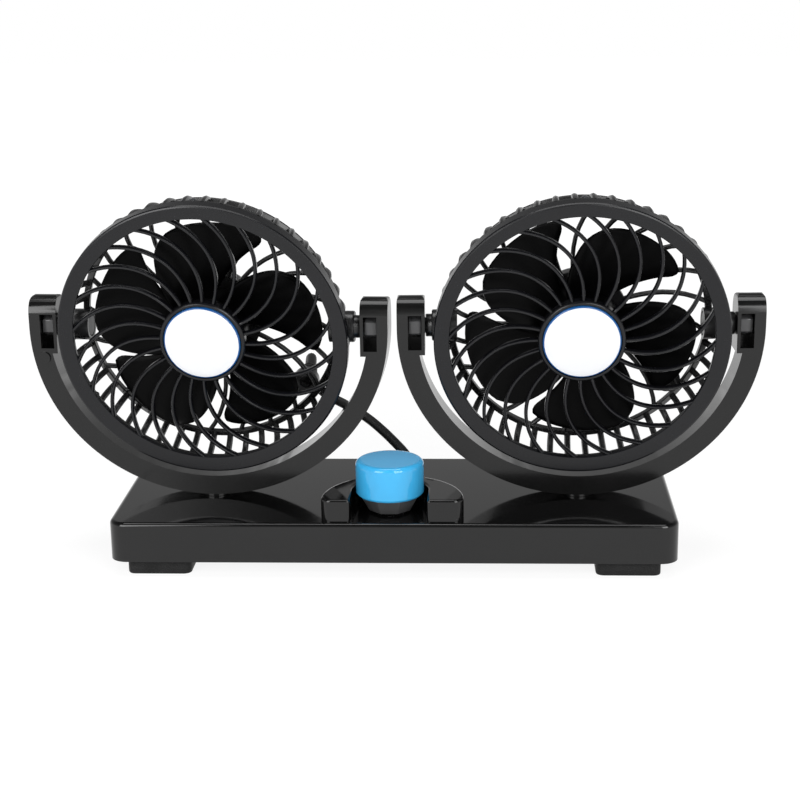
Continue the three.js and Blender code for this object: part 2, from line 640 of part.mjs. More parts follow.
function side(label, s, pan, firstSpoke, firstBlade) {
  const yokeGroup = new THREE.Group();
  yokeGroup.position.set(s * HEAD.x, HEAD.y, HEAD.z);
  yokeGroup.rotation.z = pan * RAD;
  yokeGroup.add(
    yoke(`${label}_yoke`, s < 0),
    swivelWasher(`${label}_swivel_washer`),
    swivelScrew(`${label}_swivel_screw`));
  const headGroup = new THREE.Group();
  headGroup.rotation.x = Math.PI / 2 + HEAD.restTilt * RAD;
  headGroup.add(
    frontGuard(`${label}_front_guard`, firstSpoke),
    badge(`${label}_badge`),
    rearHousing(`${label}_rear_housing`),
    ...ringScrewPlaces().map((place, i) => housingScrew(`${label}_housing_screw_${i + 1}`, place)),
    pivotPin(`${label}_pivot_pin_left`, -1),
    pivotPin(`${label}_pivot_pin_right`, 1),
    pivotNut(`${label}_pivot_nut_left`, -1),
    pivotNut(`${label}_pivot_nut_right`, 1),
    motor(`${label}_motor`),
    motorScrew(`${label}_motor_screw_left`, -7),
    motorScrew(`${label}_motor_screw_right`, 7),
    motorShaft(`${label}_motor_shaft`),
    fanWheel(`${label}_fan_wheel`, firstBlade),
    leadGland(`${label}_lead_gland`));
  yokeGroup.add(headGroup);
  return yokeGroup;
}

const product = new THREE.Group();
product.add(
  baseCover(), basePlate(),
  baseScrew('base_screw_front_left', -1, -1), baseScrew('base_screw_front_right', 1, -1),
  baseScrew('base_screw_rear_left', -1, 1), baseScrew('base_screw_rear_right', 1, 1),
  foot('foot_front_left', -1, -1), foot('foot_front_right', 1, -1),
  foot('foot_rear_left', -1, 1), foot('foot_rear_right', 1, 1),
  grommet('left_lead_grommet', GROMMETS.leftX), grommet('right_lead_grommet', GROMMETS.rightX),
  supplyBush(),
  switchBody(), switchNut(), switchShaft(), knobCollar(), knobCap(),
  side('left', -1, PAN.left, 11.25 * RAD, 36 * RAD), side('right', 1, PAN.right, 14.5 * RAD, 8 * RAD),
  headLead());

export default product;
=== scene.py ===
# A twin-head 12 V desk and dashboard fan: two caged heads in swivelling U-shaped yokes on one flat
# gloss base with a blue speed knob. Metres, +Z up, the front faces -Y, origin under the base.
from math import cos, hypot, pi, radians, sin

import bpy
from mathutils import Matrix, Vector


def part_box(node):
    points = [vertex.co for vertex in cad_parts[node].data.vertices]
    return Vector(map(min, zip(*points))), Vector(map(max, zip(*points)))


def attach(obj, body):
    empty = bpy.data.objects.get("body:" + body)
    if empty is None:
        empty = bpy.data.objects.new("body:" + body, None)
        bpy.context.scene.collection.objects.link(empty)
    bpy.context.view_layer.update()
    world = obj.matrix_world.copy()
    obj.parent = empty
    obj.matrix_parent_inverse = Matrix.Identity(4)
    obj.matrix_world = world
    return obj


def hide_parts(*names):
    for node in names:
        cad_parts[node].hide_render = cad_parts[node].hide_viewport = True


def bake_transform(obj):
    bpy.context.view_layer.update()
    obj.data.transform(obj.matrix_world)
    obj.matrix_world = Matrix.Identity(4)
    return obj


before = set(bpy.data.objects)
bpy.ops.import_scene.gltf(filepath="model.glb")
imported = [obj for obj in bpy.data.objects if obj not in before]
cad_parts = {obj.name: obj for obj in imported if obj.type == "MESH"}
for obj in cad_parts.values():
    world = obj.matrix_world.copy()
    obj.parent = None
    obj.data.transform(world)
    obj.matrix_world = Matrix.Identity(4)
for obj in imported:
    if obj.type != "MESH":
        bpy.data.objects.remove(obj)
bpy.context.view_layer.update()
bpy.context.scene.view_settings.view_transform = "Standard"


# ---- Camera -----------------------------------------------------------------------------------
# It stands in front of the fan, a little right of the middle, and looks down on it by about
# fifteen degrees, turned slightly left, with a hair of roll.
CAMERA_PLACE = (0.03717, -0.66431, 0.24419)
TURN_LEFT, LOOK_DOWN, ROLL = radians(3.0426), radians(15.5205), radians(0.8607)
FOCAL_PIXELS, PHOTO_PIXELS, SENSOR_MM = 1725.28, 800, 36
aim = (Matrix.Rotation(TURN_LEFT, 3, "Z") @ Matrix.Rotation(-LOOK_DOWN, 3, "X")
       @ Matrix.Rotation(ROLL, 3, "Y"))
right, up, back = aim @ Vector((1, 0, 0)), aim @ Vector((0, 0, 1)), aim @ Vector((0, -1, 0))
turned = Matrix((right, up, back)).transposed()
bpy.ops.object.select_all(action="DESELECT")
bpy.ops.object.camera_add(location=CAMERA_PLACE, rotation=turned.to_euler())
camera = bpy.context.object
camera.name = "camera"
camera.data.sensor_width = SENSOR_MM
camera.data.lens = FOCAL_PIXELS / PHOTO_PIXELS * SENSOR_MM
camera.data.clip_start = 0.01
bpy.context.scene.camera = camera


# ---- Left head's lead -------------------------------------------------------------------------
# A round rubber-sheathed lead from the cage's gland, down behind the yoke, to a grommet in the
# base's top. It is two pieces that meet behind the yoke, the upper one running between head and
# yoke and the lower one between yoke and base; neither piece is attached to a body.
def start_finish(name):
    """A new finish, with its node tree, its main shader and its Object coordinates."""
    finish = bpy.data.materials.new(name)
    finish.use_nodes = True
    tree = finish.node_tree
    place = tree.nodes.new("ShaderNodeTexCoord")
    return finish, tree, tree.nodes["Principled BSDF"], place.outputs["Object"]


def noise_on(tree, coordinates, scale, detail=2):
    """Noise of a scale and depth of detail, laid over coordinates."""
    noise = tree.nodes.new("ShaderNodeTexNoise")
    noise.inputs["Scale"].default_value = scale
    noise.inputs["Detail"].default_value = detail
    tree.links.new(coordinates, noise.inputs["Vector"])
    return noise


def tone_by(tree, noise, shader, dark, light):
    """Colours a shader by noise between two tones, each a place on the ramp and a colour."""
    tones = tree.nodes.new("ShaderNodeValToRGB")
    for element, (position, colour) in zip(tones.color_ramp.elements, (dark, light)):
        element.position = position
        element.color = (*colour, 1)
    tree.links.new(noise.outputs["Fac"], tones.inputs["Fac"])
    tree.links.new(tones.outputs["Color"], shader.inputs["Base Color"])


def shine_by(tree, noise, shader, gloss, reach=(0, 1)):
    """Sets a shader's roughness by noise, whose reach is spread over the two ends of gloss."""
    shine = tree.nodes.new("ShaderNodeMapRange")
    shine.inputs["From Min"].default_value, shine.inputs["From Max"].default_value = reach
    shine.inputs["To Min"].default_value, shine.inputs["To Max"].default_value = gloss
    tree.links.new(noise.outputs["Fac"], shine.inputs["Value"])
    tree.links.new(shine.outputs["Result"], shader.inputs["Roughness"])


def grain_by(tree, noise, shader, strength, depth):
    """Bumps a shader's surface by noise, to a depth in metres."""
    relief = tree.nodes.new("ShaderNodeBump")
    relief.inputs["Strength"].default_value = strength
    relief.inputs["Distance"].default_value = depth
    tree.links.new(noise.outputs["Fac"], relief.inputs["Height"])
    tree.links.new(relief.outputs["Normal"], shader.inputs["Normal"])


def rubber_finish(name, shade):
    """Soft black rubber: dull, with a faint mottle and a skin of very small pits."""
    finish, tree, skin, place = start_finish(name)
    mottle = noise_on(tree, place, 160, 4)
    tone_by(tree, mottle, skin, (0.3, (shade * 0.7, shade * 0.7, shade * 0.7)),
            (0.72, (shade * 1.4, shade * 1.4, shade * 1.42)))
    shine_by(tree, mottle, skin, (0.48, 0.66))
    grain_by(tree, noise_on(tree, place, 2600), skin, 0.25, 0.00008)
    return finish


def smooth_route(points, per_gap):
    """Points along one smooth curve through all the given ones."""
    route = []
    padded = [2 * points[0] - points[1], *points, 2 * points[-1] - points[-2]]
    for a, b, c, d in zip(padded, padded[1:], padded[2:], padded[3:]):
        for step in range(per_gap):
            t = step / per_gap
            route.append(0.5 * (
                2 * b + (c - a) * t + (2 * a - 5 * b + 4 * c - d) * t * t
                + (3 * b - a - 3 * c + d) * t * t * t))
    route.append(points[-1])
    return route


def line_curve(name, route):
    """A new curve, straight from point to point of a route. Its data comes back, to be shaped."""
    bpy.ops.object.select_all(action="DESELECT")
    bpy.ops.curve.primitive_bezier_curve_add(location=(0, 0, 0))
    bpy.context.object.name = name
    curve = bpy.context.object.data
    curve.splines.clear()
    line = curve.splines.new("POLY")
    line.points.add(len(route) - 1)
    for point, place in zip(line.points, route):
        point.co = (*place, 1)
    curve.dimensions = "3D"
    curve.use_fill_caps = True
    return curve


def curve_to_mesh():
    """Makes the curve in hand a closed mesh."""
    bpy.ops.object.convert(target="MESH")
    bpy.ops.object.mode_set(mode="EDIT")
    bpy.ops.mesh.select_all(action="SELECT")
    bpy.ops.mesh.remove_doubles(threshold=0.000005)
    bpy.ops.mesh.normals_make_consistent(inside=False)
    bpy.ops.object.mode_set(mode="OBJECT")
    return bpy.context.object


def tube_along(name, route, radius, sides=20):
    """A round tube along a route."""
    curve = line_curve(name, route)
    curve.bevel_depth = radius
    curve.bevel_resolution = (sides - 4) // 4
    return curve_to_mesh()


def pick(piece):
    """Leaves one piece alone selected and active."""
    bpy.ops.object.select_all(action="DESELECT")
    piece.select_set(True)
    bpy.context.view_layer.objects.active = piece


def give(piece, finish, angle=35, flat=False):
    """Gives a new piece its finish, smooth where it curves and sharp at its corners. A piece with
    flat faces between rounded edges keeps those faces level in the light."""
    pick(piece)
    piece.data.materials.clear()
    piece.data.materials.append(finish)
    bpy.ops.object.shade_smooth_by_angle(angle=radians(angle))
    if flat:
        for face in piece.data.polygons:
            if len(face.vertices) > 4:
                face.use_smooth = False
    return piece


soft_rubber = rubber_finish("soft_rubber", 0.006)
LEAD_RADIUS, STEPS_PER_GAP, GAPS_IN_UPPER = 0.002, 6, 6
lead_points = [Vector(p) / 1000 for p in (
    (-35.7, 17.6, 68.1), (-35.5, 22.1, 69.1), (-36.1, 28.4, 69.8), (-37.3, 34.0, 67.4),
    (-37.6, 37.2, 61.6), (-35.0, 37.6, 55.2), (-30.4, 36.6, 51.2), (-24.5, 35.4, 48.4),
    (-18.6, 34.4, 45.3), (-12.6, 33.6, 41.3), (-6.8, 33.0, 36.3), (-1.6, 32.7, 31.0),
    (1.6, 32.5, 27.4), (3.5, 32.5, 24.3))]
lead_route = smooth_route(lead_points, STEPS_PER_GAP)
halfway = GAPS_IN_UPPER * STEPS_PER_GAP
for lead_name, part, bodies in (
        ("left_lead_upper", lead_route[:halfway + 1], ("left_head", "left_yoke")),
        ("left_lead_lower", lead_route[halfway:], ("left_yoke", "base"))):
    lead = give(tube_along(lead_name, part, LEAD_RADIUS), soft_rubber)
    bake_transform(lead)
    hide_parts("left_head_lead")


# ---- Base: bottom plate, screws and foam feet -------------------------------------------------
# The base stands on four stuck-on foam pads. A satin moulded plate closes it from below, held by
# four zinc-plated screws.
def moulded_finish(name, dark, light, gloss, grain=0.00003, glint=0.5):
    """Injection-moulded plastic: slow drifts of tone and shine, and a very fine moulded grain."""
    finish, tree, skin, place = start_finish(name)
    skin.inputs["IOR"].default_value = 1.5
    skin.inputs["Specular IOR Level"].default_value = glint
    drift = noise_on(tree, place, 38, 5)
    drift.inputs["Roughness"].default_value = 0.6
    tone_by(tree, drift, skin, (0.25, dark), (0.8, light))
    shine_by(tree, drift, skin, gloss, (0.3, 0.7))
    grain_by(tree, noise_on(tree, place, 1500, 3), skin, 0.3, grain)
    return finish


def metal_finish(name, colour, gloss, brush):
    """Plated or turned metal: fine streaks of tone and shine, drawn out along Z."""
    finish, tree, skin, place = start_finish(name)
    skin.inputs["Metallic"].default_value = 1
    stretch = tree.nodes.new("ShaderNodeMapping")
    stretch.inputs["Scale"].default_value = (brush, brush, 60)
    tree.links.new(place, stretch.inputs["Vector"])
    streaks = noise_on(tree, stretch.outputs["Vector"], 1, 4)
    tone_by(tree, streaks, skin, (0.3, [0.75 * c for c in colour]), (0.7, colour))
    shine_by(tree, streaks, skin, gloss)
    return finish


def dress(finish, *names):
    """Gives CAD nodes that already have the right shape a finish."""
    for name in names:
        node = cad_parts[name]
        node.data.materials.clear()
        node.data.materials.append(finish)


satin_plastic = moulded_finish(
    "satin_plastic", (0.006, 0.006, 0.0065), (0.011, 0.011, 0.012), (0.3, 0.4))
zinc_plate = metal_finish("zinc_plate", (0.34, 0.35, 0.37), (0.3, 0.45), 700)
dress(satin_plastic, "base_bottom_plate")
dress(zinc_plate, "base_screw_front_left", "base_screw_front_right", "base_screw_rear_left",
      "base_screw_rear_right")

foam = rubber_finish("pad_foam", 0.011)
tree = foam.node_tree
tree.nodes["Principled BSDF"].inputs["Specular IOR Level"].default_value = 0.2
cells = tree.nodes.new("ShaderNodeTexVoronoi")
cells.inputs["Scale"].default_value = 1400
tree.links.new(tree.nodes["Texture Coordinate"].outputs["Object"], cells.inputs["Vector"])
relief = tree.nodes["Bump"]
relief.inputs["Distance"].default_value = 0.0003
relief.inputs["Strength"].default_value = 0.8
tree.links.new(cells.outputs["Distance"], relief.inputs["Height"])


def choose(piece, kind, test):
    """Selects, in edit mode, the edges or faces of a piece whose middle and direction pass."""
    pick(piece)
    mesh = piece.data
    for items in (mesh.vertices, mesh.edges, mesh.polygons):
        items.foreach_set("select", [False] * len(items))
    if kind == "EDGE":
        for edge in mesh.edges:
            a, b = (mesh.vertices[i].co for i in edge.vertices)
            if test((a + b) / 2, (b - a).normalized()):
                edge.select = True
                for i in edge.vertices:
                    mesh.vertices[i].select = True
    else:
        for face in mesh.polygons:
            face.select = test(face.center, face.normal)
    bpy.context.tool_settings.mesh_select_mode = (False, kind == "EDGE", kind == "FACE")
    bpy.ops.object.mode_set(mode="EDIT")


def block_at(name, low, high):
    """A block between two corners, given in metres."""
    bpy.ops.object.select_all(action="DESELECT")
    low, high = Vector(low), Vector(high)
    bpy.ops.mesh.primitive_cube_add(size=1, location=(low + high) / 2, scale=high - low)
    block = bpy.context.object
    block.name = name
    bpy.ops.object.transform_apply(location=True, rotation=True, scale=True)
    return block


def soften(piece, width, segments=2, angle=30):
    """Rounds every edge of a piece that is sharper than an angle."""
    pick(piece)
    rounding = piece.modifiers.new("rounding", "BEVEL")
    rounding.width = width
    rounding.segments = segments
    rounding.limit_method = "ANGLE"
    rounding.angle_limit = radians(angle)
    rounding.use_clamp_overlap = True
    bpy.ops.object.modifier_apply(modifier=rounding.name)
    return piece


def round_chosen(piece, kind_of_edge, width, segments):
    """Rounds the edges of a piece that pass a test of their middle and direction."""
    choose(piece, "EDGE", kind_of_edge)
    bpy.ops.mesh.bevel(offset=width, segments=segments, affect="EDGES")
    bpy.ops.object.mode_set(mode="OBJECT")


def upright(middle, way):
    """Whether an edge stands up."""
    return abs(way.z) > 0.9


PAD_CORNER, PAD_ROUND = 0.003, 0.0006
for foot_name in ("foot_front_left", "foot_front_right", "foot_rear_left", "foot_rear_right"):
    pad = block_at(foot_name + "_pad", *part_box(foot_name))
    round_chosen(pad, upright, PAD_CORNER, 5)
    give(soften(pad, PAD_ROUND, 2), foam, flat=True)
    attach(pad, "base")
    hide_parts(foot_name)


# ---- Base cover -------------------------------------------------------------------------------
# One gloss black moulding, open below, with rounded corners and a soft top edge. A raised half
# round behind the knob is part of it, notched in front so the fingers can reach the knob.
def cut_out(piece, cutter, how="DIFFERENCE"):
    """Cuts, joins or keeps the overlap of a piece and another solid, which is used up."""
    pick(piece)
    saw = piece.modifiers.new("saw", "BOOLEAN")
    saw.operation = how
    saw.solver = "EXACT"
    saw.object = cutter
    bpy.ops.object.modifier_apply(modifier=saw.name)
    bpy.data.objects.remove(cutter)
    return piece


def round_bar(name, radius, low, high, x=0.0, y=0.0, sides=48):
    """An upright round bar, used whole or as a drill."""
    bpy.ops.object.select_all(action="DESELECT")
    bpy.ops.mesh.primitive_cylinder_add(
        vertices=sides, radius=radius, depth=high - low, location=(x, y, (low + high) / 2))
    bar = bpy.context.object
    bar.name = name
    bpy.ops.object.transform_apply(location=True, rotation=True, scale=True)
    return bar


def slab_from(name, outline, low, high):
    """A slab with an outline in X and Y: a circle of edges is laid along the outline, filled, and
    pulled up through its height."""
    bpy.ops.object.select_all(action="DESELECT")
    bpy.ops.mesh.primitive_circle_add(vertices=len(outline), radius=0.05)
    slab = bpy.context.object
    slab.name = name
    for vertex, (x, y) in zip(slab.data.vertices, outline):
        vertex.co = (x, y, low)
    bpy.context.tool_settings.mesh_select_mode = (False, True, False)
    bpy.ops.object.mode_set(mode="EDIT")
    bpy.ops.mesh.select_all(action="SELECT")
    bpy.ops.mesh.edge_face_add()
    bpy.ops.mesh.extrude_region_move(TRANSFORM_OT_translate={"value": (0, 0, high - low)})
    bpy.ops.mesh.select_all(action="SELECT")
    bpy.ops.mesh.normals_make_consistent(inside=False)
    bpy.ops.object.mode_set(mode="OBJECT")
    return slab


def arc(x, y, radius, start, end, steps):
    """Points along an arc in plan, from one angle to another in degrees."""
    turns = (radians(start + (end - start) * i / steps) for i in range(steps + 1))
    return [(x + radius * cos(turn), y + radius * sin(turn)) for turn in turns]


gloss_plastic = moulded_finish(
    "gloss_plastic", (0.002, 0.002, 0.0021), (0.0042, 0.0042, 0.0043), (0.05, 0.09), 0.000008, 0.46)
BASE_HALF_X, BASE_HALF_Y, BASE_LOW, BASE_TOP = 0.11, 0.0425, 0.0061, 0.0219
BASE_CORNER, BASE_ROUND, BASE_WALL = 0.007, 0.0016, 0.0022
KNOB_X, KNOB_Y = -0.0012, -0.0256
PIVOT_X, PIVOT_Y, PIVOT_Z = 0.07285, -0.0025, 0.091
LEAD_HOLES, LEAD_HOLE_Y = {"left": 0.0036, "right": -0.01}, 0.0325
SUPPLY_HOLE_Z = 0.014
NECK_HOLE, SHAFT_HOLE, LEAD_HOLE = 0.0074, 0.0045, 0.0036
cover = block_at("base_cover_shell", (-BASE_HALF_X, -BASE_HALF_Y, BASE_LOW),
                 (BASE_HALF_X, BASE_HALF_Y, BASE_TOP))
round_chosen(cover, upright, BASE_CORNER, 10)
round_chosen(cover, lambda middle, way: middle.z > BASE_TOP - 0.0001, BASE_ROUND, 5)
choose(cover, "FACE", lambda middle, normal: normal.z < -0.9)
bpy.ops.mesh.delete(type="FACE")
bpy.ops.object.mode_set(mode="OBJECT")
walls = cover.modifiers.new("walls", "SOLIDIFY")
walls.thickness = BASE_WALL
walls.offset = -1
walls.use_even_offset = True
bpy.ops.object.modifier_apply(modifier=walls.name)

CONSOLE_X, CONSOLE_Y, CONSOLE_RADIUS, CONSOLE_SIDE = 0.0002, -0.0358, 0.0275, 0.0235
CONSOLE_FOOT, CONSOLE_TOP, CONSOLE_FRONT = 0.0203, 0.0308, -0.0402
CONSOLE_CORNER, CONSOLE_ROUND = 0.004, 0.0010
NOTCH, MOUTH_CORNER = 0.0148, 0.0012
corner_y, mouth_y = CONSOLE_FRONT + CONSOLE_CORNER, CONSOLE_FRONT + MOUTH_CORNER
console = slab_from(
    "console",
    arc(CONSOLE_X, CONSOLE_Y, CONSOLE_RADIUS, 0, 180, 110)
    + arc(CONSOLE_X - CONSOLE_SIDE, corner_y, CONSOLE_CORNER, 180, 270, 12)
    + arc(KNOB_X - NOTCH - MOUTH_CORNER, mouth_y, MOUTH_CORNER, 270, 360, 6)
    + arc(KNOB_X, KNOB_Y, NOTCH, 180, 0, 64)
    + arc(KNOB_X + NOTCH + MOUTH_CORNER, mouth_y, MOUTH_CORNER, 180, 270, 6)
    + arc(CONSOLE_X + CONSOLE_SIDE, corner_y, CONSOLE_CORNER, 270, 360, 12),
    CONSOLE_FOOT, CONSOLE_TOP)
soften(console, CONSOLE_ROUND, 4, 50)
MARK_Y, MARK_HALF_LENGTH, MARK_HALF_WIDTH, MARK_DEPTH = -0.0150, 0.0016, 0.0003, 0.0003
ABOVE_CONSOLE = 0.033
for mark_x, mark_turn in ((-0.0165, 30), (0.0141, -30)):
    mark = block_at("mark", (-MARK_HALF_LENGTH, -MARK_HALF_WIDTH, CONSOLE_TOP - MARK_DEPTH),
                    (MARK_HALF_LENGTH, MARK_HALF_WIDTH, ABOVE_CONSOLE))
    mark.data.transform(
        Matrix.Translation((mark_x, MARK_Y, 0)) @ Matrix.Rotation(radians(mark_turn), 4, "Z"))
    cut_out(console, mark)
cut_out(cover, console, "UNION")
for radius, x, y in (
        (NECK_HOLE, -PIVOT_X, PIVOT_Y), (NECK_HOLE, PIVOT_X, PIVOT_Y),
        (SHAFT_HOLE, KNOB_X, KNOB_Y), (LEAD_HOLE, LEAD_HOLES["left"], LEAD_HOLE_Y),
        (LEAD_HOLE, LEAD_HOLES["right"], LEAD_HOLE_Y)):
    cut_out(cover, round_bar("drill", radius, 0.015, 0.03, x, y, 40))
supply_drill = round_bar("supply_drill", LEAD_HOLE, -0.05, -0.03, sides=32)
supply_drill.data.transform(
    Matrix.Translation((0, 0, SUPPLY_HOLE_Z)) @ Matrix.Rotation(radians(90), 4, "X"))
cut_out(cover, supply_drill)
give(cover, gloss_plastic, 30, flat=True)
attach(cover, "base")
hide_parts("base_cover")


# ---- Grommets, supply bush and the heads' glands ----------------------------------------------
# Turned rubber bushes. Two stand in the base's top where the heads' leads go in, one is flush in
# the rear wall for the supply, and a tapered ribbed gland holds each lead where it leaves a cage.
def turn_up(name, loops, sides=96):
    """A round piece about Z: a circle of edges is extruded and resized from loop to loop.
    Loops that end where they began close up; any others are filled flat at both ends."""
    bpy.ops.object.select_all(action="DESELECT")
    radius, height = loops[0]
    bpy.ops.mesh.primitive_circle_add(vertices=sides, radius=radius, location=(0, 0, height))
    piece = bpy.context.object
    piece.name = name
    bpy.ops.object.transform_apply(location=True, rotation=True, scale=True)
    bpy.context.tool_settings.mesh_select_mode = (False, True, False)
    bpy.ops.object.mode_set(mode="EDIT")
    bpy.ops.mesh.select_all(action="SELECT")
    for (r0, z0), (r1, z1) in zip(loops, loops[1:]):
        bpy.ops.mesh.extrude_region_move(TRANSFORM_OT_translate={"value": (0, 0, z1 - z0)})
        bpy.ops.transform.resize(value=(r1 / r0, r1 / r0, 1), center_override=(0, 0, z1))
    bpy.ops.mesh.select_all(action="SELECT")
    bpy.ops.mesh.remove_doubles(threshold=0.000004)
    if loops[0] != loops[-1]:
        bpy.ops.mesh.fill_holes(sides=0)
        bpy.ops.mesh.select_all(action="SELECT")
    bpy.ops.mesh.normals_make_consistent(inside=False)
    bpy.ops.object.mode_set(mode="OBJECT")
    return piece


def set_in(piece, place):
    """Puts a piece's mesh where a matrix says, and leaves its object at the origin."""
    piece.data.transform(place)
    piece.data.update()
    return piece


DROOP = 12
PAN = {"left": -3, "right": 1}
yoke_place = {}
head_place = {}
for side, pivot_x in (("left", -PIVOT_X), ("right", PIVOT_X)):
    yoke_place[side] = Matrix.Translation((pivot_x, PIVOT_Y, PIVOT_Z)) @ Matrix.Rotation(
        radians(PAN[side]), 4, "Z")
    head_place[side] = yoke_place[side] @ Matrix.Rotation(radians(90 + DROOP), 4, "X")
gland_place = Matrix.Translation((0.036, -0.027, 0))
GLAND_TIP, GLAND_RIBS, RIB_PITCH, RIB_WIDER = -0.0163, 3, 0.0022, 0.0003

for side, bush_x in LEAD_HOLES.items():
    bush = turn_up(side + "_lead_bush", [
        (0.0024, 0.0186), (0.0033, 0.0186), (0.0033, 0.0222), (0.0043, 0.0222),
        (0.0044, 0.0224), (0.0042, 0.0230), (0.0037, 0.0234), (0.0028, 0.0235),
        (0.0024, 0.0234), (0.0024, 0.0186)], 40)
    give(set_in(bush, Matrix.Translation((bush_x, LEAD_HOLE_Y, 0))), soft_rubber)
    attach(bush, "base")
    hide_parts(side + "_lead_grommet")

    rings = [(0.0024, GLAND_TIP)]
    for rib in range(GLAND_RIBS):
        at, wider = GLAND_TIP + rib * RIB_PITCH, rib * RIB_WIDER
        rings += [(0.0029 + wider, at), (0.0031 + wider, at + 0.0003),
                  (0.0031 + wider, at + 0.0012), (0.0028 + wider, at + 0.0014)]
    rings += [(0.0038, -0.0095), (0.0045, -0.0093), (0.0046, -0.009), (0.0046, -0.0082),
              (0.0045, -0.0081), (0.0024, -0.0081), (0.0024, GLAND_TIP)]
    gland = turn_up(side + "_cage_gland", rings, 40)
    give(set_in(gland, head_place[side] @ gland_place), soft_rubber)
    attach(gland, side + "_head")
    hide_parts(side + "_lead_gland")
dress(soft_rubber, "supply_lead_bush")


# ---- Speed switch and knob --------------------------------------------------------------------
# The rotary switch hangs under the cover by its nut. The knob is a black faceted collar with a
# sky-blue gloss cap pressed over it, and a steel D shaft joins the two to the switch.
blade_plastic = moulded_finish(
    "blade_plastic", (0.0006, 0.0006, 0.0007), (0.0012, 0.0012, 0.0013), (0.28, 0.38), glint=0.07)
bright_steel = metal_finish("bright_steel", (0.6, 0.61, 0.63), (0.2, 0.34), 900)
dress(blade_plastic, "speed_switch")
dress(bright_steel, "switch_nut", "switch_shaft")

collar = turn_up("knob_collar_shell", [
    (0.0029, 0.025), (0.0069, 0.025), (0.0069, 0.0227), (0.0083, 0.0227), (0.0086, 0.0229),
    (0.0114, 0.0279), (0.0116, 0.0283), (0.0116, 0.0287), (0.0113, 0.0288), (0.0112, 0.0288),
    (0.0112, 0.032), (0.0054, 0.032), (0.0054, 0.0396), (0.0029, 0.0396), (0.0029, 0.025)], 8)
collar.data.transform(Matrix.Rotation(radians(22.5), 4, "Z"))
soften(collar, 0.0003, 2, 25)
# The black collar is coloured mid grey: painted light, standing in for the light it catches down in
# the knob's notch.
collar_grey_painted_light = moulded_finish(
    "collar_grey_painted_light", (0.055, 0.055, 0.057), (0.075, 0.075, 0.077), (0.3, 0.4))
give(set_in(collar, Matrix.Translation((KNOB_X, KNOB_Y, 0))), collar_grey_painted_light, 20, flat=True)
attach(collar, "knob")
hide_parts("knob_collar")

knob_blue = moulded_finish(
    "knob_blue", (0.042, 0.38, 0.72), (0.05, 0.42, 0.77), (0.04, 0.06), 0.000003)
cap = turn_up("knob_cap_shell", [
    (0.0116, 0.0408), (0.0116, 0.0291), (0.0118, 0.0289), (0.0124, 0.0289), (0.0126, 0.0290),
    (0.01325, 0.0299), (0.0133, 0.0301), (0.0133, 0.0408), (0.01322, 0.0414), (0.01298, 0.0419),
    (0.01262, 0.0423), (0.01216, 0.0426), (0.0116, 0.0427), (0.0108, 0.04268), (0.004, 0.04266)])
give(set_in(cap, Matrix.Translation((KNOB_X, KNOB_Y, 0))), knob_blue, 40)
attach(cap, "knob")
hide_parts("knob_cap")


# ---- Yokes ------------------------------------------------------------------------------------
# Each U is one thick satin-gloss moulding that swivels on a neck in the base, measured here from
# its pivot point. Its arms end in rounded blocks with a window in front, where the pivot nut
# shows. Only the left yoke has a small moulded button.
OUTER_X, OUTER_Z, INNER_X, INNER_Z = 0.07145, 0.0681, 0.0636, 0.0604
BLOCK_INNER, BLOCK_TOP, BLOCK_BOTTOM = 0.0605, 0.012, -0.0105
INNER_START, BOW_STEPS = 0.175, 96


def side_outline():
    """The U seen from the front: outer curve, an arm's top, inner curve, the other arm's top."""
    points = []
    for step in range(BOW_STEPS + 1):
        turn = pi + pi * step / BOW_STEPS
        points.append((OUTER_X * cos(turn), OUTER_Z * sin(turn)))
    arm = [(OUTER_X, 0.0104), (0.0713, 0.0112), (0.0708, 0.0118), (0.07, BLOCK_TOP),
           (0.062, BLOCK_TOP), (0.0612, 0.0118), (0.06065, 0.0112), (BLOCK_INNER, 0.0104),
           (BLOCK_INNER, BLOCK_BOTTOM)]
    points += arm
    for step in range(BOW_STEPS + 1):
        turn = -INNER_START - (pi - 2 * INNER_START) * step / BOW_STEPS
        points.append((INNER_X * cos(turn), INNER_Z * sin(turn)))
    points += [(-x, z) for x, z in reversed(arm)]
    return points


def cross_bar(name, radius, low, high, sides=40):
    """A round bar along X."""
    bar = round_bar(name, radius, low, high, sides=sides)
    bar.data.transform(Matrix.Rotation(radians(90), 4, "Y"))
    return bar


def copy_of(piece):
    """A copy of a piece, selected and active."""
    pick(piece)
    bpy.ops.object.duplicate()
    return bpy.context.object


yoke_plastic = moulded_finish(
    "yoke_plastic", (0.0025, 0.0025, 0.0025), (0.005, 0.005, 0.005), (0.14, 0.2), 0.00002, 0.44)
dark_steel = metal_finish("dark_steel", (0.016, 0.016, 0.017), (0.34, 0.46), 900)
YOKE_HALF_DEPTH, END_ROUND, EDGE_ROUND = 0.007, 0.00699, 0.0006
WINDOW_INNER, WINDOW_OUTER, WINDOW_LOW, WINDOW_HIGH = 0.0618, 0.0671, -0.0085, 0.0052
WINDOW_BACK, PIN_HOLE, PIN_HOLE_INNER, PIN_HOLE_OUTER = 0.0051, 0.0034, 0.0595, 0.0628
NECK_RADIUS, NECK_LOW, NECK_HIGH = 0.007, -0.0714, -0.0634
BUTTON_X, BUTTON_Z, BUTTON_RADIUS = -0.0661, -0.0124, 0.0025
BUTTON_BACK, BUTTON_FRONT = 0.0058, 0.0078
bow = slab_from("yoke_pattern", side_outline(), -0.008, 0.008)
bow.data.transform(Matrix.Rotation(radians(90), 4, "X"))
slab = block_at("slab", (-0.09, -YOKE_HALF_DEPTH, -0.09), (0.09, YOKE_HALF_DEPTH, BLOCK_TOP))
round_chosen(slab, lambda middle, way: abs(way.x) > 0.9 and middle.z > 0, END_ROUND, 14)
cut_out(bow, slab, "INTERSECT")
cut_out(bow, round_bar("neck", NECK_RADIUS, NECK_LOW, NECK_HIGH, sides=64), "UNION")
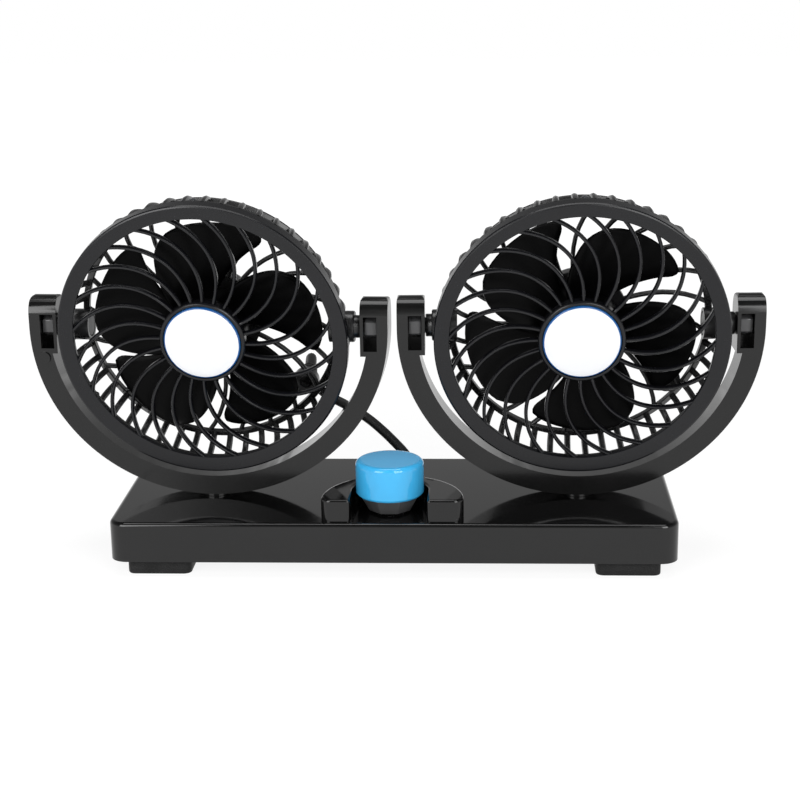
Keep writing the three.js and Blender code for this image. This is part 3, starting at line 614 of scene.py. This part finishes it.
for s in (-1, 1):
    x0, x1 = sorted((s * WINDOW_INNER, s * WINDOW_OUTER))
    cut_out(bow, block_at("window", (x0, -0.01, WINDOW_LOW), (x1, WINDOW_BACK, WINDOW_HIGH)))
    x0, x1 = sorted((s * PIN_HOLE_INNER, s * PIN_HOLE_OUTER))
    cut_out(bow, cross_bar("pin_drill", PIN_HOLE, x0, x1))
for side in ("left", "right"):
    yoke = copy_of(bow)
    yoke.name = side + "_yoke_bow"
    if side == "left":
        button = round_bar("button", BUTTON_RADIUS, BUTTON_BACK, BUTTON_FRONT, sides=40)
        button.data.transform(
            Matrix.Translation((BUTTON_X, 0, BUTTON_Z)) @ Matrix.Rotation(radians(90), 4, "X"))
        cut_out(yoke, button, "UNION")
    soften(yoke, EDGE_ROUND, 3, 32)
    give(set_in(yoke, yoke_place[side]), yoke_plastic, 30, flat=True)
    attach(yoke, side + "_yoke")
    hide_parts(side + "_yoke")
    dress(bright_steel, side + "_swivel_washer")
    dress(dark_steel, side + "_pivot_pin_left", side + "_pivot_pin_right")
    dress(zinc_plate, side + "_swivel_screw")
bpy.data.objects.remove(bow)


# ---- Pivot nuts -------------------------------------------------------------------------------
# A six-sided nut of dark moulded plastic fills each arm's window, one edge forward. It sits on
# the end of the pivot pin and turns with the head.
# The dark nut is coloured a lighter grey: painted light, lifting the lower facet that sits in
# shade.
nut_grey_painted_light = moulded_finish("nut_grey_painted_light", (0.06, 0.06, 0.062), (0.08, 0.08, 0.082), (0.12, 0.18))
NUT_HOLE, NUT_RADIUS, NUT_INNER, NUT_OUTER, NUT_ROUND = 0.0035, 0.0049, 0.0621, 0.0668, 0.00025
nut_pattern = turn_up("nut_pattern", [
    (NUT_HOLE, NUT_INNER), (NUT_RADIUS, NUT_INNER), (NUT_RADIUS, NUT_OUTER),
    (NUT_HOLE, NUT_OUTER), (NUT_HOLE, NUT_INNER)], 6)
soften(nut_pattern, NUT_ROUND, 2, 40)
for side in ("left", "right"):
    for end, turn in (("left", -90), ("right", 90)):
        nut = copy_of(nut_pattern)
        nut.name = f"{side}_hex_nut_{end}"
        set_in(nut, head_place[side] @ Matrix.Rotation(radians(-DROOP), 4, "X") @ Matrix.Rotation(
            radians(turn), 4, "Y"))
        give(nut, nut_grey_painted_light, 25, flat=True)
        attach(nut, side + "_head")
        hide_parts(f"{side}_pivot_nut_{end}")
bpy.data.objects.remove(nut_pattern)


# ---- Front guards -----------------------------------------------------------------------------
# One satin moulding: a broad sloped ring, a hub cup, and two dozen thin bars that sweep
# anticlockwise from the hub to the ring.
def join_all(pieces, name):
    """Joins pieces into one object."""
    bpy.ops.object.select_all(action="DESELECT")
    for piece in pieces:
        piece.select_set(True)
    bpy.context.view_layer.objects.active = pieces[0]
    bpy.ops.object.join()
    joined = bpy.context.object
    joined.name = name
    return joined


def repeat_round(piece, count, first):
    """Copies a piece at even steps round Z, from a first angle on, and joins the copies."""
    copies = []
    for i in range(count):
        copy = copy_of(piece)
        copy.data.transform(Matrix.Rotation(first + i * 2 * pi / count, 4, "Z"))
        copies.append(copy)
    name = piece.name
    bpy.data.objects.remove(piece)
    return join_all(copies, name)


def flat_bar(name, route, half_width, half_depth):
    """A bar along a route in the XY plane, deeper than it is wide, with rounded edges."""
    curve = line_curve(name, route)
    curve.twist_mode = "Z_UP"
    curve.extrude = half_depth - half_width
    curve.bevel_depth = half_width
    curve.bevel_resolution = 2
    return curve_to_mesh()


ring_plastic = moulded_finish(
    "ring_plastic", (0.003, 0.0031, 0.0042), (0.005, 0.0052, 0.0068), (0.22, 0.3), glint=0.38)
SPOKES, SPOKE_SWEEP, SPOKE_STEPS = 24, radians(30), 24
SPOKE_START, SPOKE_END, SPOKE_HALF_WIDTH, SPOKE_HALF_DEPTH = 0.0161, 0.0519, 0.0007, 0.0013
SPOKE_HEIGHT, SPOKE_RISE = 0.0142, 0.0005
for side, first in (("left", 11.25), ("right", 14.5)):
    ring = turn_up("ring", [
        (0.0510, 0.0144), (0.0510, 0.0158), (0.0512, 0.0161), (0.0516, 0.0162),
        (0.0556, 0.0172), (0.0562, 0.0173), (0.0567, 0.0171), (0.0570, 0.0166),
        (0.0570, 0.0123), (0.0568, 0.0120), (0.0532, 0.0120), (0.0530, 0.0122),
        (0.0526, 0.0128), (0.0512, 0.0142), (0.0510, 0.0144)], 160)
    cup = turn_up("cup", [
        (0.0001, 0.0146), (0.0154, 0.0146), (0.0154, 0.0163), (0.0155, 0.0165), (0.0163, 0.0165),
        (0.0166, 0.0163), (0.0169, 0.0158), (0.0169, 0.0127), (0.0167, 0.0124), (0.0001, 0.0124),
        (0.0001, 0.0146)])
    sweep = []
    for step in range(SPOKE_STEPS + 1):
        share = step / SPOKE_STEPS
        radius = SPOKE_START + (SPOKE_END - SPOKE_START) * share
        turn = SPOKE_SWEEP * share ** 1.9
        sweep.append(
            (radius * cos(turn), radius * sin(turn), SPOKE_HEIGHT + SPOKE_RISE * share ** 2))
    spoke = flat_bar("bar", sweep, SPOKE_HALF_WIDTH, SPOKE_HALF_DEPTH)
    bars = repeat_round(spoke, SPOKES, radians(first))
    guard = join_all([ring, cup, bars], side + "_guard")
    give(set_in(guard, head_place[side]), ring_plastic, 30, flat=True)
    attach(guard, side + "_head")
    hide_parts(side + "_front_guard")


# ---- Badges -----------------------------------------------------------------------------------
# A slightly domed glossy white disc with a thin blue rim, snapped into each guard's hub. Both
# discs are plain.
badge_white = moulded_finish(
    "badge_white", (0.77, 0.78, 0.8), (0.81, 0.82, 0.84), (0.16, 0.22), 0.000005)
rim_blue = moulded_finish(
    "rim_blue", (0.005, 0.07, 0.24), (0.008, 0.1, 0.32), (0.2, 0.28), 0.000005)
RIM_INNER = 0.01455
for side in ("left", "right"):
    badge = turn_up(side + "_badge_disc", [
        (0.0148, 0.0149), (0.0151, 0.0150), (0.0151, 0.0163), (0.0150, 0.0166), (0.0147, 0.0168),
        (0.0145, 0.0169), (0.0120, 0.01706), (0.0090, 0.01719), (0.0060, 0.01728),
        (0.0025, 0.01734)])
    give(set_in(badge, head_place[side]), badge_white, 50)
    badge.data.materials.append(rim_blue)
    inverse = head_place[side].inverted()
    for face in badge.data.polygons:
        local = inverse @ face.center
        if hypot(local.x, local.y) > RIM_INNER:
            face.material_index = 1
    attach(badge, side + "_head")
    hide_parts(side + "_badge")


# ---- Rear housings ----------------------------------------------------------------------------
# The back half of each cage: a flange behind the guard, close round ribs down its side, bars over
# its back that bend clockwise from the motor cup, and a hollow lug for the pin at either side.
cage_plastic = moulded_finish(
    "cage_plastic", (0.013, 0.013, 0.0135), (0.019, 0.019, 0.0195), (0.24, 0.34))
SIDE_RIBS, SIDE_RIB_RADIUS, FIRST_SIDE_RIB = 48, 0.0013, radians(3.75)
REAR_BARS, REAR_BAR_STEPS, REAR_BAR_SWEEP, FIRST_REAR_BAR = 24, 8, radians(14), radians(7.5)
REAR_BAR_START, REAR_BAR_LENGTH = 0.018, 0.0325
REAR_BAR_HALF_WIDTH, REAR_BAR_HALF_DEPTH = 0.0009, 0.0012
REAR_BAR_HEIGHT, REAR_BAR_RISE = -0.0079, 0.0041
for side in ("left", "right"):
    flange = turn_up("flange", [
        (0.0531, 0.0095), (0.0561, 0.0095), (0.0563, 0.0097), (0.0563, 0.0115), (0.0561, 0.0117),
        (0.0532, 0.0117), (0.0530, 0.0115), (0.0530, 0.0097), (0.0531, 0.0095)], 128)
    corner = turn_up("corner", [
        (0.0493, -0.0050), (0.0518, -0.0050), (0.0522, -0.0046), (0.0520, -0.0040),
        (0.0497, -0.0024), (0.0493, -0.0028), (0.0493, -0.0050)], 128)
    cup = turn_up("cup", [
        (0.0126, -0.0066), (0.0193, -0.0066), (0.0195, -0.0068), (0.0195, -0.0089),
        (0.0193, -0.0092), (0.0158, -0.0092), (0.0150, -0.0096), (0.0146, -0.0104),
        (0.0146, -0.0218), (0.0143, -0.0230), (0.0136, -0.0240), (0.0126, -0.0247),
        (0.0115, -0.0250), (0.0080, -0.0250), (0.0080, -0.0234), (0.0114, -0.0234),
        (0.0122, -0.0230), (0.0126, -0.0222), (0.0126, -0.0066)])
    end = turn_up("end", [(0.0082, -0.0250), (0.0080, -0.0252), (0.0002, -0.0252),
                          (0.0002, -0.0234), (0.0082, -0.0234), (0.0082, -0.0250)], 64)
    rib_route = smooth_route([Vector(p) / 1000 for p in (
        (55.4, 0, 10.6), (55.3, 0, 7.4), (54.6, 0, 3.6), (52.9, 0, -0.6), (50.6, 0, -4.0))], 4)
    rib = tube_along("rib", rib_route, SIDE_RIB_RADIUS, 12)
    ribs = repeat_round(rib, SIDE_RIBS, FIRST_SIDE_RIB)
    bar_route = []
    for step in range(REAR_BAR_STEPS + 1):
        share = step / REAR_BAR_STEPS
        radius, turn = REAR_BAR_START + REAR_BAR_LENGTH * share, -REAR_BAR_SWEEP * share ** 1.8
        bar_route.append(
            (radius * cos(turn), radius * sin(turn), REAR_BAR_HEIGHT + REAR_BAR_RISE * share))
    bar = flat_bar("bar", bar_route, REAR_BAR_HALF_WIDTH, REAR_BAR_HALF_DEPTH)
    bars = repeat_round(bar, REAR_BARS, FIRST_REAR_BAR)
    lugs = []
    for turn in (-90, 90):
        lug = turn_up("lug", [
            (0.0035, 0.0497), (0.0048, 0.0497), (0.0048, 0.0479), (0.0062, 0.0479),
            (0.0062, 0.0574), (0.0059, 0.0578), (0.0046, 0.0579), (0.0045, 0.0582),
            (0.0045, 0.0599), (0.0043, 0.0602), (0.0035, 0.0602), (0.0035, 0.0497)], 48)
        lug.data.transform(Matrix.Rotation(radians(turn), 4, "Y"))
        lugs.append(lug)
    seat = turn_up("seat", [(0.0026, -0.0078), (0.0052, -0.0078), (0.0052, -0.0044),
                            (0.0026, -0.0044), (0.0026, -0.0078)], 40)
    seat.data.transform(gland_place)
    cage = join_all([flange, corner, cup, end, ribs, bars, *lugs, seat], side + "_cage")
    give(set_in(cage, head_place[side]), cage_plastic, 35)
    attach(cage, side + "_head")
    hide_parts(side + "_rear_housing")
    dress(zinc_plate, *(f"{side}_housing_screw_{i}" for i in (1, 2, 3)),
          side + "_motor_screw_left", side + "_motor_screw_right")
    dress(bright_steel, side + "_motor", side + "_motor_shaft")


# ---- Fan wheels -------------------------------------------------------------------------------
# One deep black moulding: a hub cup pressed on the motor shaft and five broad pitched blades
# whose edges sweep clockwise as they run out.
BLADE_ROOT, BLADE_TIP, BLADE_SWEEP = 0.0145, 0.0452, radians(26)
BLADE_HALF_ANGLE, NARROWED, NARROWED_TIP = 32.5, 4, 4.5
BLADE_HEIGHT, BLADE_PITCH = 0.0034, 0.0054
TIP_START, TIP_CORNER = 0.72, 0.0016
BLADE_THICK, BLADE_ROUND, BLADES = 0.0014, 0.0004, 5


def blade_pattern():
    """One blade: a grid bent round the hub, pitched, thickened and rounded."""
    bpy.ops.object.select_all(action="DESELECT")
    bpy.ops.mesh.primitive_grid_add(x_subdivisions=14, y_subdivisions=16, size=2)
    blade = bpy.context.object
    blade.name = "blade"
    for vertex in blade.data.vertices:
        side_share = vertex.co.x
        share = (vertex.co.y + 1) / 2
        tip = max(0.0, (share - TIP_START) / (1 - TIP_START))
        radius = BLADE_ROOT + (BLADE_TIP - BLADE_ROOT) * share - TIP_CORNER * tip * side_share ** 4
        half = radians(BLADE_HALF_ANGLE - NARROWED * share - NARROWED_TIP * tip ** 3)
        turn = -BLADE_SWEEP * share + side_share * half
        lift = BLADE_PITCH * side_share * (0.75 + 0.25 * share) * (1 - 0.17 * tip)
        vertex.co = (radius * cos(turn), radius * sin(turn), BLADE_HEIGHT + lift)
    thick = blade.modifiers.new("thick", "SOLIDIFY")
    thick.thickness = BLADE_THICK
    thick.offset = 0
    bpy.ops.object.modifier_apply(modifier=thick.name)
    soften(blade, BLADE_ROUND, 2, 50)
    bpy.ops.object.mode_set(mode="EDIT")
    bpy.ops.mesh.select_all(action="SELECT")
    bpy.ops.mesh.normals_make_consistent(inside=False)
    bpy.ops.object.mode_set(mode="OBJECT")
    return blade


for side, first in (("left", 36), ("right", 8)):
    hub = turn_up("hub", [
        (0.0139, -0.0038), (0.0154, -0.0038), (0.0154, 0.0072), (0.0151, 0.0082), (0.0144, 0.0089),
        (0.0134, 0.0094), (0.0122, 0.0096), (0.0002, 0.0096), (0.0002, 0.0066), (0.0139, 0.0066),
        (0.0139, -0.0038)], 72)
    post = turn_up("post", [(0.0015, -0.0038), (0.0040, -0.0038), (0.0040, 0.0070),
                            (0.0015, 0.0070), (0.0015, -0.0038)], 32)
    blades = repeat_round(blade_pattern(), BLADES, radians(first))
    wheel = join_all([hub, post, blades], side + "_impeller")
    give(set_in(wheel, head_place[side]), blade_plastic, 35)
    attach(wheel, side + "_fan")
    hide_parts(side + "_fan_wheel")


# ---- Studio -----------------------------------------------------------------------------------
# A plain pale floor and a white surround that fades to grey overhead, with a tall soft lamp on
# either side of the camera and one overhead.
def white_seen(tree, *rays):
    """One where a surface is seen by any of the given kinds of ray, and nought elsewhere."""
    path = tree.nodes.new("ShaderNodeLightPath")
    found = path.outputs[rays[0]]
    for ray in rays[1:]:
        either = tree.nodes.new("ShaderNodeMath")
        either.operation = "MAXIMUM"
        tree.links.new(found, either.inputs[0])
        tree.links.new(path.outputs[ray], either.inputs[1])
        found = either.outputs[0]
    return found


bpy.ops.object.select_all(action="DESELECT")
bpy.ops.mesh.primitive_plane_add(size=5, location=(0, 0, 0))
floor = bpy.context.object
floor.name = "floor"
paper = bpy.data.materials.new("paper")
paper.use_nodes = True
tree = paper.node_tree
tree.nodes["Principled BSDF"].inputs["Base Color"].default_value = (0.9, 0.9, 0.9, 1)
tree.nodes["Principled BSDF"].inputs["Roughness"].default_value = 0.9
glow = tree.nodes.new("ShaderNodeEmission")
glow.inputs["Strength"].default_value = 1.1
spot = tree.nodes.new("ShaderNodeTexCoord")
reach = tree.nodes.new("ShaderNodeVectorMath")
reach.operation = "LENGTH"
tree.links.new(spot.outputs["Object"], reach.inputs[0])
clearing = tree.nodes.new("ShaderNodeMapRange")
clearing.inputs["From Min"].default_value = 0.25
clearing.inputs["From Max"].default_value = 0.8
clearing.inputs["To Min"].default_value = 0.8
clearing.inputs["To Max"].default_value = 1.0
tree.links.new(reach.outputs["Value"], clearing.inputs["Value"])
partly = tree.nodes.new("ShaderNodeMath")
partly.operation = "MULTIPLY"
tree.links.new(clearing.outputs["Result"], partly.inputs[1])
tree.links.new(white_seen(tree, "Is Camera Ray", "Is Glossy Ray"), partly.inputs[0])
mixed = tree.nodes.new("ShaderNodeMixShader")
tree.links.new(partly.outputs[0], mixed.inputs["Fac"])
tree.links.new(tree.nodes["Principled BSDF"].outputs[0], mixed.inputs[1])
tree.links.new(glow.outputs[0], mixed.inputs[2])
tree.links.new(mixed.outputs[0], tree.nodes["Material Output"].inputs["Surface"])
floor.data.materials.append(paper)

world = bpy.data.worlds.new("surround")
bpy.context.scene.world = world
world.use_nodes = True
tree = world.node_tree
dome = tree.nodes["Background"]
dome.inputs["Color"].default_value = (0.17, 0.17, 0.17, 1)
way = tree.nodes.new("ShaderNodeTexCoord")
split = tree.nodes.new("ShaderNodeSeparateXYZ")
tree.links.new(way.outputs["Object"], split.inputs["Vector"])
fade = tree.nodes.new("ShaderNodeValToRGB")
fade.color_ramp.elements[0].position = 0.02
fade.color_ramp.elements[0].color = (1, 1, 1, 1)
fade.color_ramp.elements[1].position = 0.7
fade.color_ramp.elements[1].color = (0.12, 0.12, 0.12, 1)
middle = fade.color_ramp.elements.new(0.28)
middle.color = (0.4, 0.4, 0.4, 1)
tree.links.new(split.outputs["Z"], fade.inputs["Fac"])
backdrop = tree.nodes.new("ShaderNodeBackground")
tree.links.new(fade.outputs["Color"], backdrop.inputs["Color"])
mixed = tree.nodes.new("ShaderNodeMixShader")
seen = white_seen(tree, "Is Camera Ray", "Is Glossy Ray", "Is Transmission Ray")
tree.links.new(seen, mixed.inputs["Fac"])
tree.links.new(dome.outputs[0], mixed.inputs[1])
tree.links.new(backdrop.outputs[0], mixed.inputs[2])
tree.links.new(mixed.outputs[0], tree.nodes["World Output"].inputs["Surface"])

LAMPS_AIM = Vector((0, 0, 0.07))
for lamp_name, place, size, power in (
        ("front_left", (-0.66, -1.0, 0.56), (0.62, 0.8), 9.2),
        ("front_right", (0.62, -1.0, 0.56), (0.6, 0.8), 9.2),
        ("overhead", (0.0, 0.05, 1.15), (0.9, 0.5), 5.5)):
    bpy.ops.object.select_all(action="DESELECT")
    bpy.ops.object.light_add(type="AREA", location=place)
    lamp = bpy.context.object
    lamp.name = lamp_name
    lamp.data.shape = "RECTANGLE"
    lamp.data.size, lamp.data.size_y = size
    lamp.data.energy = power
    lamp.rotation_euler = (LAMPS_AIM - Vector(place)).to_track_quat("-Z", "Y").to_euler()
